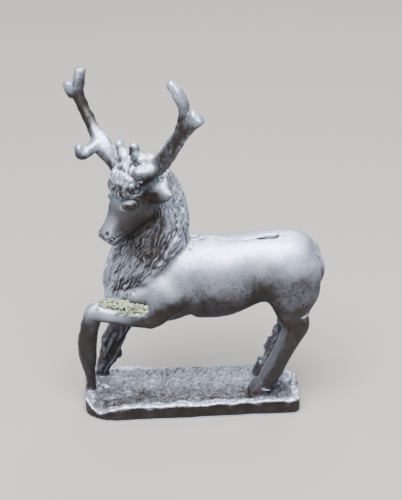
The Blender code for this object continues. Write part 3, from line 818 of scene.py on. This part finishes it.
points, normals, edges = skin(casting.data)
x, _, z = points.T
trunk = ease(z, 36, 52) * ease(-z, -112, -100) * ease(x, -32, -22) * ease(-x, -67, -61)
points += (spread(points, edges, 70) - points) * trunk[:, None]
mane = mane_cover(points)
strands, strand_tint = mane_strands(points)
curls = tuft_curls(points)
hairy = ease(np.abs(curls), 0, 0.1)
relief = 1.35 * mane * strands + curls + face_features(points) - 2.3 * ear_hollow(points)
low_relief = muscles(points) + back_seam(points, normals) + leg_flash(points, normals) + pits(points)
relief += (1 - mane) * low_relief
relief += ground(points, normals) + antler_bark(points) + sinews(points)
normals = unit(spread(normals, edges, 2))
carved = (points + normals * relief[:, None]) * SHARE + (0, 0, BASE_THICKNESS)
carved[:, 2] -= slump(points) * SHARE
carved[:, 2] = np.where(carved[:, 2] < 0.4 * SHARE, 0, carved[:, 2])
casting.data.vertices.foreach_set("co", carved.astype(np.float32).ravel())
casting.data.update()


def keep_mask(mesh, name, values):
    """Stores one number per point for the material to read."""
    layer = mesh.attributes.new(name, "FLOAT", "POINT")
    layer.data.foreach_set("value", np.asarray(values, np.float32))


# Masks for the finish: hollows that hold dark oxide, ridges rubbed bright, and a film of dark oxide together
# with painted shade on the sides that look sideways or down.
points, normals, edges = skin(casting.data)
depth = spread(relief, edges, 12) - relief
crease = ((spread(points, edges, 40) - points) * normals).sum(-1)
x, _, z = points.T


def dark_lines(points):
    """Painted shade, up to 1, in the seam and slit along the back, in the groove by the tail, the lids, the
    lips and the nostril.
    """
    x, y, z = points.T
    beyond = beyond_seam(points)
    on_back = ease(z, 88, 92)
    seam = 0.45 * bell(beyond, 0.5) * ease(x, 0, 6) * ease(-x, -58, -50) * on_back
    width = 0.95 + 0.35 * ease(x, 38, 45)
    slit = 1.5 * bell(beyond, width) * ease(x, 32, 40) * ease(-x, -49.5, -47.5) * on_back
    groove = bell(y + 8.2, 1.2) * ease(x, 65, 68) * ease(z, 62, 66) * ease(-z, -92, -86)
    eye, _, beside = eye_place(points)
    lids = bell(eye - 1.36, 0.2) * beside * (np.hypot(*(points - SKULL).T[:2]) < 20) * (z < 140)
    ahead, _, up = in_head(points)
    lips = bell(above_mouth(ahead, up), 0.8) * ease(ahead, 20, 23) * ease(-z, -120, -116)
    nostril = near_spots(points, ((on_head(25.0, 3.0, 3.4), 1.7),))
    return np.clip(1.4 * np.maximum.reduce([seam, slit, groove, 0.75 * lids, lips, nostril]), 0, 1)


# Where the metal is rubbed bare and painted highlights lie, and where painted shade lies thick: place and
# reach in shares.
POLISHED_AND_LIT = (
    ((-71, 31, 184), 8),
    ((-64, 31, 194), 4),
    ((-13, -26, 203), 9),
    ((0, -34, 191), 6),
    ((-53, 12, 158), 8),
    ((-62, 8, 156), 5),
    ((-31, -17, 155), 6),
    ((-19, -14, 142), 8),
    ((-50, -7, 60), 10),
    ((-61, -6, 60), 6),
    ((-28, -14, 79), 4),
)
PAINTED_SHADE_SPOTS = (
    ((-31, -12, 106), (15, 14, 20)),
    ((-24, -11, 114), (8, 8, 12)),
    ((-26.5, -12, 132), (8, 7, 6)),
    ((-19, -17, 60), (8, 8, 7)),
    ((-64, 25, 173), (10, 10, 15)),
    ((-60.5, 23, 167), (9, 9, 8)),
    ((-58, 19, 162), (4, 5, 4)),
)


def slender_parts(points):
    """1 on the legs and the raised forearm, and 1 on the antlers."""
    x, _, z = points.T
    return np.maximum(ease(-z, -60, -46), ease(-x, 14, 24) * ease(-z, -66, -60)), ease(z, 142, 148)


def trunk_film_and_shade(points, up):
    """Oxide film and painted shade: 0 where the trunk looks up, rising to 1 where it looks sideways or down,
    and more low on the thigh.
    """
    x, _, z = points.T
    bare_above = 0.40 - 0.14 * ease(x, 44, 56) * ease(z, 72, 90)
    film_and_shade = 1.02 * (1 - np.exp(3.8 * np.minimum(up - bare_above, 0)))
    film_and_shade += 0.30 * ease(-z, -88, -60) * ease(x, 34, 46) + 0.14 * ease(-up, -0.05, 0.45)
    return np.minimum(film_and_shade, 1 - 0.09 * ease(x, 42, 50) * ease(z, 56, 66))


def face_film_shade_and_sheen(points, up):
    """Oxide film with painted shade, darker towards the underside of the head, and a painted sheen as a paler
    patch at the jaw's corner.
    """
    jaw = near_spots(points, (((-22, -10, 123), (5, 6, 5)),))
    return 0.38 + 0.55 * ease(-up, -0.80, -0.10) - 0.32 * jaw


def slab_film_shade_and_highlight(points, up):
    """Cloudy on the slab's top and darker towards its near side, a painted highlight along the rim, painted
    shade, black, down the cut side, and a painted reflection along its bottom edge.
    """
    _, y, z = points.T
    top = 0.62 + 0.26 * ease(-y, -6, 10) + 0.07 * noise(points, 9.0, 39) + 0.07 * noise(points, 3.4, 45)
    top *= 1 - 0.92 * ease(-to_edge(points) - 1.2 * noise(points, 3.0, 47), -5.5, -2.8)
    top *= 1 - 0.6 * near_spots(points, (((57.5, 1, 1), 6),))
    film_and_shade = np.where((z > -2.2) | (up > 0.5), top, 1.0)
    # Painted reflection: a thin pale line along the bottom edge of the cut side.
    film_and_shade = np.where(z < -8.3, 0.1, film_and_shade)
    # Painted shade where the top's surface looks down.
    return film_and_shade + (1 - film_and_shade) * ease(-up, -0.6, -0.1) * (z > -2.2)


def oxide_and_shade(points, normals, mane):
    """How dark the oxide film and the painted shade lie, from 0 to 1: least on what looks up, most on what
    looks down or is hidden.
    """
    x, y, z = points.T
    up = normals[:, 2]
    thin = np.maximum(*slender_parts(points))
    # Painted shade: the film darkens what looks sideways or down, together with the oxide that lies there.
    film_and_shade = trunk_film_and_shade(points, up) * (1 - thin) + ease(-up, -0.85, -0.20) * thin
    face = head_cover(points)
    film_and_shade = film_and_shade * (1 - face) + face_film_shade_and_sheen(points, up) * face
    film_and_shade = film_and_shade * (1 - mane) + np.maximum(film_and_shade, 0.50) * mane
    # Painted shade on the fringe that hangs over the brow and under the near ear.
    film_and_shade = np.maximum(film_and_shade, 0.95 * fringe_cover(points))
    film_and_shade = np.maximum(film_and_shade, under_ear(points))
    # The hind hooves and the legs are kept dark, oxide together with painted shade, and the near hind shin's
    # front facet a little lighter as a painted lit facet.
    film_and_shade = np.where((z < 9) & (x > 25), np.maximum(film_and_shade, 0.95), film_and_shade)
    shin = ease(-normals[:, 0], 0.35, 0.8) * ease(x, 25, 30) * ease(z, 9, 14) * ease(-z, -50, -44)
    film_and_shade = film_and_shade * (1 - 0.10 * shin)
    film_and_shade = np.where((z < 50) & (x > 20), np.maximum(film_and_shade, 0.88), film_and_shade)
    film_and_shade = np.where((z < 46) & (y > 3), np.maximum(film_and_shade, 0.90), film_and_shade)
    film_and_shade = np.where((x > 52) & (z < 12), 0.1, film_and_shade)
    # Bare rubbed metal at the tips together with painted highlights, only on places that look up.
    film_and_shade = film_and_shade * (1 - 0.85 * near_spots(points, POLISHED_AND_LIT) * ease(up, -0.45, 0.1))
    # Painted shade inside the far ear, on the parts that look down.
    film_and_shade = np.maximum(film_and_shade, 0.85 * on_far_ear(points) * ease(-up, -0.75, -0.4))
    return np.where(z < 2, slab_film_shade_and_highlight(points, up), film_and_shade)


face = head_cover(points)
leg, antler = slender_parts(points)
# Painted shade under the jaw and the near ear, at the near elbow and down the far antler's beam.
painted_shade = np.clip(1.5 * near_spots(points, PAINTED_SHADE_SPOTS), 0, 1)
film_and_shade = oxide_and_shade(points, spread(normals, edges, 8), mane)
film_and_shade = film_and_shade + 0.42 * mane * strand_tint
film_and_shade = film_and_shade + (1 - film_and_shade) * 0.95 * painted_shade
film_and_shade = np.clip(film_and_shade * (1 - bright_lines(points)), 0, 1)
lines = dark_lines(points)
ahead, left, _ = in_head(points)
out_of_eye = eye_place(points)[0]
lens = np.exp(-((out_of_eye / 0.95) ** 6)) * face * (np.abs(left) > 4)
film_and_shade = np.maximum(film_and_shade + 0.10 * lens, lines)
hair = np.maximum(mane, hairy)
on_lips = ease(ahead, 19, 22)
# Bright ridges are rubbed metal and also painted highlights: they are dimmed in the painted shade and on the
# slab's top and cut side.
rubbed_and_lit = (0.5 + 0.4 * hair) * (1 - 0.8 * painted_shade) * (1 - 0.6 * face * (1 - on_lips) * (1 - hairy))
rubbed_and_lit *= (1 - 0.45 * ((z < 2) & (to_edge(points) > 4))) * (1 - 0.7 * ((z < -2.2) & (z > -8.3)))
corner = ease(x, 49, 53) * ease(-z, -16, -12)
breast = mane * ease(-z, -94, -80)
sunken = np.clip(depth / (0.45 - 0.12 * hair), 0, 1) * (1 - 0.7 * corner) * (1 - 0.35 * breast)
keep_mask(casting.data, "hollow", sunken)
keep_mask(casting.data, "ridge", np.clip(-depth / 0.5, 0, 1) * rubbed_and_lit * (1 - 0.3 * breast))
# The crease mask darkens the large creases between parts: painted shade together with the oxide that lies
# there.
keep_mask(casting.data, "crease", np.clip(crease / 0.9 - 0.1, 0, 1) * (1 - 0.55 * ease(z, 62, 70)))
# The film attribute holds the oxide together with the painted shade.
keep_mask(casting.data, "film_and_shade", film_and_shade)
cloudy = 1 - 0.65 * np.maximum.reduce([leg * (z > 2), antler, face]) + 0.9 * antler
cloudy = np.where(z < 2, np.where(z > -2.5, 1.9, 0.35), cloudy)
keep_mask(casting.data, "cloudy", cloudy)
stippled = 0.55 * ((z < 3) & (z > -2.5)) + 0.8 * ((z < -8) & (z > -9.1))
features = 0.8 * ease(lines, 0.05, 0.2) + 0.6 * face * ease(out_of_eye, 2.2, 1.8)
thinned(casting, MOST_TRIANGLES, np.clip(np.maximum.reduce([hair, stippled, features]), 0, 1))
casting.data.shade_smooth()


def grain_group():
    """Cast grain on any dull surface: a fine height, and speckle from 0 to 1, on Object coordinates."""
    group = bpy.data.node_groups.new("cast_grain", "ShaderNodeTree")
    group.interface.new_socket("Scale", in_out="INPUT", socket_type="NodeSocketFloat").default_value = 4000
    group.interface.new_socket("Height", in_out="OUTPUT", socket_type="NodeSocketFloat")
    group.interface.new_socket("Speckle", in_out="OUTPUT", socket_type="NodeSocketFloat")
    nodes, link = group.nodes, group.links.new
    given, out = nodes.new("NodeGroupInput"), nodes.new("NodeGroupOutput")
    place = nodes.new("ShaderNodeTexCoord")
    fine = nodes.new("ShaderNodeTexNoise")
    fine.inputs["Detail"].default_value = 3
    fine.inputs["Roughness"].default_value = 0.6
    link(place.outputs["Object"], fine.inputs["Vector"])
    link(given.outputs["Scale"], fine.inputs["Scale"])
    coarse_scale = nodes.new("ShaderNodeMath")
    coarse_scale.operation = "MULTIPLY"
    coarse_scale.inputs[1].default_value = 0.45
    link(given.outputs["Scale"], coarse_scale.inputs[0])
    coarse = nodes.new("ShaderNodeTexNoise")
    coarse.inputs["Detail"].default_value = 4
    coarse.inputs["Roughness"].default_value = 0.75
    link(place.outputs["Object"], coarse.inputs["Vector"])
    link(coarse_scale.outputs[0], coarse.inputs["Scale"])
    speckle = nodes.new("ShaderNodeMapRange")
    speckle.interpolation_type = "SMOOTHSTEP"
    speckle.inputs["From Min"].default_value = 0.48
    speckle.inputs["From Max"].default_value = 0.66
    link(coarse.outputs["Fac"], speckle.inputs["Value"])
    link(fine.outputs["Fac"], out.inputs["Height"])
    link(speckle.outputs["Result"], out.inputs["Speckle"])
    return group


cast_grain = grain_group()
# The cool blue and lilac tint of the bright metal is a painted reflection of a cool light.
COOL_LIT_METAL = (0.68, 0.81, 1.0)
LILAC_LIT_METAL = (0.75, 0.79, 1.0)
# Brown-black for the oxide and for the painted shade.
OXIDE_AND_SHADE_BLACK = (0.027, 0.021, 0.019)


def white_metal():
    """Tin-lead: bright grey where bare and lit, brown-black oxide with painted shade in hollows and below,
    speckled between.
    """
    material = bpy.data.materials.new("white_metal_finish")
    material.use_nodes = True
    nodes, link = material.node_tree.nodes, material.node_tree.links.new
    shader = nodes["Principled BSDF"]

    def mask(name):
        """One of the masks kept on the mesh."""
        node = nodes.new("ShaderNodeAttribute")
        node.attribute_name = name
        return node.outputs["Fac"]

    def math_node(operation, a, b, clamp=False):
        """The result of one Math node; a and b are each a number or a socket."""
        node = nodes.new("ShaderNodeMath")
        node.operation = operation
        node.use_clamp = clamp
        for socket, value in zip(node.inputs, (a, b)):
            if isinstance(value, (int, float)):
                socket.default_value = value
            else:
                link(value, socket)
        return node.outputs[0]

    def blend(amount, first, second):
        """A mix from first to second, each a colour or a socket."""
        node = nodes.new("ShaderNodeMix")
        node.data_type = "RGBA"
        link(amount, node.inputs["Factor"])
        for socket, value in ((node.inputs[6], first), (node.inputs[7], second)):
            if isinstance(value, tuple):
                socket.default_value = (*value, 1)
            else:
                link(value, socket)
        return node.outputs[2]

    grain = nodes.new("ShaderNodeGroup")
    grain.node_tree = cast_grain
    grain.inputs["Scale"].default_value = 5200
    place = nodes.new("ShaderNodeTexCoord")
    cloud = nodes.new("ShaderNodeTexNoise")
    cloud.inputs["Scale"].default_value = 900
    cloud.inputs["Detail"].default_value = 6
    cloud.inputs["Roughness"].default_value = 0.7
    link(place.outputs["Object"], cloud.inputs["Vector"])
    bare_and_lit = math_node("SUBTRACT", 1.0, mask("film_and_shade"))
    more_on_bare_and_lit = math_node("ADD", math_node("MULTIPLY", bare_and_lit, 1.2), 0.35)
    patchy = math_node("MULTIPLY", math_node("SUBTRACT", cloud.outputs["Fac"], 0.47), more_on_bare_and_lit)
    patchy = math_node("MULTIPLY", patchy, mask("cloudy"))
    film_and_shade = math_node("ADD", mask("film_and_shade"), math_node("MULTIPLY", patchy, 0.55), clamp=True)
    speckled = math_node("ADD", math_node("MULTIPLY", bare_and_lit, 0.20), 0.05)
    speckled = math_node("MULTIPLY", grain.outputs["Speckle"], speckled)
    speckled = math_node("MULTIPLY", speckled, mask("cloudy"))
    fine_hollows = math_node("MULTIPLY", mask("hollow"), 0.9)
    # Painted shade in the large creases, with the oxide in the fine hollows.
    sunk = math_node("MAXIMUM", fine_hollows, math_node("MULTIPLY", mask("crease"), 0.7))
    dark = math_node("MAXIMUM", film_and_shade, sunk)
    dark = math_node("ADD", dark, speckled, clamp=True)
    dark = math_node("SUBTRACT", dark, math_node("MULTIPLY", mask("ridge"), 0.75), clamp=True)
    hue = nodes.new("ShaderNodeTexNoise")
    hue.inputs["Scale"].default_value = 330
    hue.inputs["Detail"].default_value = 3
    link(place.outputs["Object"], hue.inputs["Vector"])
    shift = math_node("MULTIPLY", math_node("SUBTRACT", hue.outputs["Fac"], 0.35), 3.3, clamp=True)
    bright = blend(shift, COOL_LIT_METAL, LILAC_LIT_METAL)
    colour = blend(dark, bright, OXIDE_AND_SHADE_BLACK)
    link(colour, shader.inputs["Base Color"])
    link(math_node("SUBTRACT", 1.0, math_node("MULTIPLY", dark, 0.55)), shader.inputs["Metallic"])
    duller = math_node("MULTIPLY", grain.outputs["Speckle"], 0.08)
    rough = math_node("SUBTRACT", duller, math_node("MULTIPLY", dark, 0.05))
    link(math_node("ADD", rough, 0.50), shader.inputs["Roughness"])
    shader.inputs["Specular IOR Level"].default_value = 0.2
    bump = nodes.new("ShaderNodeBump")
    bump.inputs["Strength"].default_value = 0.6
    bump.inputs["Distance"].default_value = 0.00007
    link(grain.outputs["Height"], bump.inputs["Height"])
    link(bump.outputs["Normal"], shader.inputs["Normal"])
    return material


casting.data.materials.clear()
casting.data.materials.append(white_metal())
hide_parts("stag_casting")
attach(casting, "root")


# Old glue on the raised forearm: a pale crust that was squeezed out against the chest, set in lumps and
# bubbles, and yellowed. It lies on the metal and is no part of the pour.
def glue_lumps():
    """Balls strewn over the crook of forearm and chest, larger and lower towards the elbow."""
    pick = np.random.default_rng(22)
    lumps = []
    for t in np.linspace(0, 1, 90):
        spine = np.array((-56 + 26 * t, -7.4 - 5.2 * t, 62.4 - 1.0 * t))
        spot = spine + pick.normal(0, 1, 3) * (1.9, 1.7, 1.0 + 0.6 * (1 - t))
        lumps.append(ball(spot, tuple((1.0 + 0.4 * t) * pick.uniform(0.7, 1.3, 3) * (1.5, 1, 1))))
    for t in np.linspace(0, 1, 50):
        spot = np.array((-45 + 14 * t, -13.2 - 1.8 * t, 60.4)) + pick.normal(0, 1, 3) * (1.4, 0.6, 1.9)
        lumps.append(ball(spot, tuple(pick.uniform(0.7, 1.7, 3))))
    return lumps


glue = fused(joined("forearm_glue", glue_lumps()), 0.35 * SHARE, 6)
points, normals, edges = skin(glue.data)
bubbles = 0.35 * valleys(points, 1.7, 23, 0.35) - 0.3 - 1.4 * ease(noise(points, 2.2, 24), 0.3, 0.65)
blistered = (points + normals * bubbles[:, None]) * SHARE + (0, 0, BASE_THICKNESS)
glue.data.vertices.foreach_set("co", blistered.astype(np.float32).ravel())
glue.data.update()
thinned(glue, 24000)
points, normals, edges = skin(glue.data)
keep_mask(glue.data, "hollow", np.clip(((spread(points, edges, 4) - points) * normals).sum(-1) / 0.20, 0, 1))
glue.data.shade_smooth()


def yellowed_glue():
    """Chalky yellow-green resin, dull, darker and browner in its bubbles."""
    material = bpy.data.materials.new("yellowed_glue")
    material.use_nodes = True
    nodes, link = material.node_tree.nodes, material.node_tree.links.new
    shader = nodes["Principled BSDF"]
    grain = nodes.new("ShaderNodeGroup")
    grain.node_tree = cast_grain
    grain.inputs["Scale"].default_value = 3600
    bubble_hollows = nodes.new("ShaderNodeAttribute")
    bubble_hollows.attribute_name = "hollow"
    tint = nodes.new("ShaderNodeMix")
    tint.data_type = "RGBA"
    tint.inputs[6].default_value = (0.33, 0.37, 0.25, 1)
    tint.inputs[7].default_value = (0.43, 0.51, 0.40, 1)
    link(grain.outputs["Speckle"], tint.inputs["Factor"])
    darker_in_bubbles = nodes.new("ShaderNodeMix")
    darker_in_bubbles.data_type = "RGBA"
    darker_in_bubbles.inputs[7].default_value = (0.07, 0.065, 0.045, 1)
    link(bubble_hollows.outputs["Fac"], darker_in_bubbles.inputs["Factor"])
    link(tint.outputs[2], darker_in_bubbles.inputs[6])
    link(darker_in_bubbles.outputs[2], shader.inputs["Base Color"])
    shader.inputs["Roughness"].default_value = 0.55
    bump = nodes.new("ShaderNodeBump")
    bump.inputs["Strength"].default_value = 0.4
    bump.inputs["Distance"].default_value = 0.00005
    link(grain.outputs["Height"], bump.inputs["Height"])
    link(bump.outputs["Normal"], shader.inputs["Normal"])
    return material


glue.data.materials.clear()
glue.data.materials.append(yellowed_glue())
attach(glue, "root")

# The stage: a plain pale floor, an even dim room, one wide soft light overhead and a weaker one behind.
bpy.ops.mesh.primitive_plane_add(size=3.0, location=(0, 0, 0))
floor = bpy.context.object
floor.name = "pale_floor"
pale = bpy.data.materials.new("pale_floor")
pale.use_nodes = True
pale.node_tree.nodes["Principled BSDF"].inputs["Base Color"].default_value = (0.36, 0.345, 0.335, 1)
pale.node_tree.nodes["Principled BSDF"].inputs["Roughness"].default_value = 0.9
floor.data.materials.append(pale)

world = bpy.data.worlds.new("soft_room")
world.use_nodes = True
world.node_tree.nodes["Background"].inputs["Color"].default_value = (0.52, 0.54, 0.58, 1)
world.node_tree.nodes["Background"].inputs["Strength"].default_value = 0.24
bpy.context.scene.world = world


def soft_light(name, place, aim, size, power):
    """A round area light of that size at place, turned towards aim."""
    lamp = bpy.data.lights.new(name, "AREA")
    lamp.shape = "DISK"
    lamp.size = size
    lamp.energy = power
    light = bpy.data.objects.new(name, lamp)
    light.location = place
    light.rotation_euler = (Vector(aim) - Vector(place)).to_track_quat("-Z", "Y").to_euler()
    bpy.context.scene.collection.objects.link(light)


soft_light("overhead", (-0.03, -0.15, 0.37), (0, 0, 0.02), 0.40, 6.2)
soft_light("back_fill", (0.10, 0.30, 0.40), (0, 0, 0.03), 0.30, 1.6)

# The camera stands where the photograph's did: 27 degrees above the floor, 5 degrees towards the head.
CAMERA_TURN = math.radians(-5)
CAMERA_RISE = math.radians(27)
CAMERA_DISTANCE = 0.260
AIM = Vector((0.0009, 0.0011, 0.0246))
LENS_PIXELS = 1768
PHOTO_HEIGHT = 500
camera_data = bpy.data.cameras.new("photo_camera")
camera = bpy.data.objects.new("photo_camera", camera_data)
bpy.context.scene.collection.objects.link(camera)
towards = Vector(
    (
        math.sin(CAMERA_TURN) * math.cos(CAMERA_RISE),
        -math.cos(CAMERA_TURN) * math.cos(CAMERA_RISE),
        math.sin(CAMERA_RISE),
    )
)
camera.location = AIM + towards * CAMERA_DISTANCE
camera.rotation_euler = (-towards).to_track_quat("-Z", "Y").to_euler()
camera_data.sensor_fit = "VERTICAL"
camera_data.sensor_height = 36
camera_data.lens = 36 * LENS_PIXELS / PHOTO_HEIGHT
camera_data.clip_start = 0.01
bpy.context.scene.camera = camera
